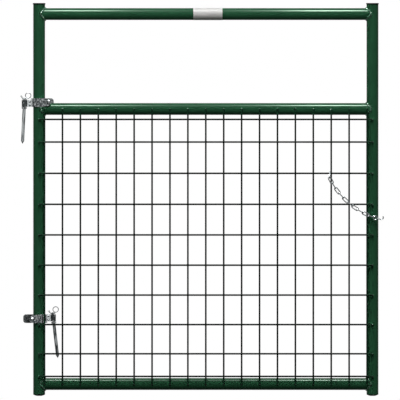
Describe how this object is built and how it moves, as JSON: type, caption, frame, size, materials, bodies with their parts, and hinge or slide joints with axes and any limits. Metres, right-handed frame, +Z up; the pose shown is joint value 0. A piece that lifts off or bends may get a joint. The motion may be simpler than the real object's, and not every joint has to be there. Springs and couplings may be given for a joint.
{
  "type": "field gate",
  "caption": "Walk-through field gate: green welded tube frame with a wire mesh lower bay, strap hinges on lag pins and a closing chain with a hook.",
  "frame": {"origin": "middle of the flat spot under the foot plug of the hinge post", "axes": "+Z up along the hinge post, +X to the latch post, -Y to the face that carries the mesh"},
  "size_m": [1.2223, 0.0786, 1.32],
  "materials": {
    "green_paint": "semi-gloss",
    "mesh_paint": "semi-gloss",
    "black_plastic": "matte",
    "label_film": "satin",
    "zinc_steel": "zinc plated"
  },
  "bodies": {
    "gate_frame": {"hinge_post": "green_paint", "latch_post": "green_paint", "top_rail": "green_paint", "mid_rail": "green_paint", "bottom_rail": "green_paint", "mesh_vertical_wires": "mesh_paint", "mesh_horizontal_wires": "mesh_paint", "hinge_post_cap": "black_plastic", "latch_post_cap": "black_plastic", "hinge_post_foot": "black_plastic", "latch_post_foot": "black_plastic", "rail_label": "label_film", "upper_strap": "zinc_steel", "upper_strap_rivets": "zinc_steel", "upper_strap_bolt": "zinc_steel", "upper_strap_nut": "zinc_steel"},
    "upper_pin": {"upper_hinge_pin": "zinc_steel", "upper_pin_clip": "zinc_steel"},
    "lower_strap": {"lower_strap": "zinc_steel", "lower_strap_rivets": "zinc_steel", "lower_strap_bolt": "zinc_steel", "lower_strap_nut": "zinc_steel"},
    "lower_pin": {"lower_hinge_pin": "zinc_steel", "lower_pin_clip": "zinc_steel"},
    "chain_anchor": {"chain_anchor_link": "zinc_steel"},
    "chain_link_1": {"chain_link_1": "zinc_steel"},
    "chain_link_2": {"chain_link_2": "zinc_steel"},
    "chain_link_3": {"chain_link_3": "zinc_steel"},
    "chain_link_4": {"chain_link_4": "zinc_steel"},
    "chain_link_5": {"chain_link_5": "zinc_steel"},
    "chain_link_6": {"chain_link_6": "zinc_steel"},
    "chain_link_7": {"chain_link_7": "zinc_steel"},
    "chain_link_8": {"chain_link_8": "zinc_steel"},
    "chain_link_9": {"chain_link_9": "zinc_steel"},
    "chain_link_10": {"chain_link_10": "zinc_steel"},
    "chain_hook": {"chain_hook": "zinc_steel"}
  },
  "joints": [
    {"name": "upper_pin_turn", "type": "hinge", "parent": "gate_frame", "child": "upper_pin", "pos_m": [-0.0495, 0, 0.98275], "axis": [0.0488, 0, 0.9988], "continuous": true},
    {"name": "lower_strap_swivel", "type": "hinge", "parent": "gate_frame", "child": "lower_strap", "pos_m": [0, 0, 0.26225], "axis": [0, 0, 1], "range_deg": [-17, 43]},
    {"name": "lower_pin_turn", "type": "hinge", "parent": "lower_strap", "child": "lower_pin", "pos_m": [0.04734, 0.01447, 0.26225], "axis": [-0.1132, 0, 0.9936], "continuous": true},
    {"name": "chain_anchor_swing", "type": "hinge", "parent": "gate_frame", "child": "chain_anchor", "pos_m": [0.9764, -0.02865, 0.74776], "axis": [-1, 0, 0], "range_deg": [0, 47]},
    {"name": "chain_link_1_bend", "type": "hinge", "parent": "chain_anchor", "child": "chain_link_1", "pos_m": [0.9764, -0.0386, 0.73125], "axis": [0, 1, 0], "range_deg": [-15, 15]},
    {"name": "chain_link_2_bend", "type": "hinge", "parent": "chain_link_1", "child": "chain_link_2", "pos_m": [0.98588, -0.0386, 0.71342], "axis": [-0.8829, 0, -0.4695], "range_deg": [0, 15]},
    {"name": "chain_link_3_bend", "type": "hinge", "parent": "chain_link_2", "child": "chain_link_3", "pos_m": [0.99704, -0.0386, 0.69598], "axis": [0, 1, 0], "range_deg": [-15, 15]},
    {"name": "chain_link_4_bend", "type": "hinge", "parent": "chain_link_3", "child": "chain_link_4", "pos_m": [1.00955, -0.0386, 0.67949], "axis": [-0.7965, 0, -0.6046], "range_deg": [0, 15]},
    {"name": "chain_link_5_bend", "type": "hinge", "parent": "chain_link_4", "child": "chain_link_5", "pos_m": [1.02335, -0.0386, 0.66406], "axis": [0, 1, 0], "range_deg": [-15, 15]},
    {"name": "chain_link_6_bend", "type": "hinge", "parent": "chain_link_5", "child": "chain_link_6", "pos_m": [1.03834, -0.0386, 0.64979], "axis": [-0.6896, 0, -0.7242], "range_deg": [0, 15]},
    {"name": "chain_link_7_bend", "type": "hinge", "parent": "chain_link_6", "child": "chain_link_7", "pos_m": [1.05443, -0.0386, 0.63676], "axis": [0, 1, 0], "range_deg": [-15, 15]},
    {"name": "chain_link_8_bend", "type": "hinge", "parent": "chain_link_7", "child": "chain_link_8", "pos_m": [1.07151, -0.0386, 0.62506], "axis": [-0.565, 0, -0.8251], "range_deg": [0, 15]},
    {"name": "chain_link_9_bend", "type": "hinge", "parent": "chain_link_8", "child": "chain_link_9", "pos_m": [1.08947, -0.0386, 0.61478], "axis": [0, 1, 0], "range_deg": [-15, 15]},
    {"name": "chain_link_10_bend", "type": "hinge", "parent": "chain_link_9", "child": "chain_link_10", "pos_m": [1.1082, -0.0386, 0.60596], "axis": [-0.4258, 0, -0.9048], "range_deg": [0, 15]},
    {"name": "chain_hook_bend", "type": "hinge", "parent": "chain_link_10", "child": "chain_hook", "pos_m": [1.12757, -0.0386, 0.59868], "axis": [0, 1, 0], "range_deg": [-15, 15]}
  ]
}
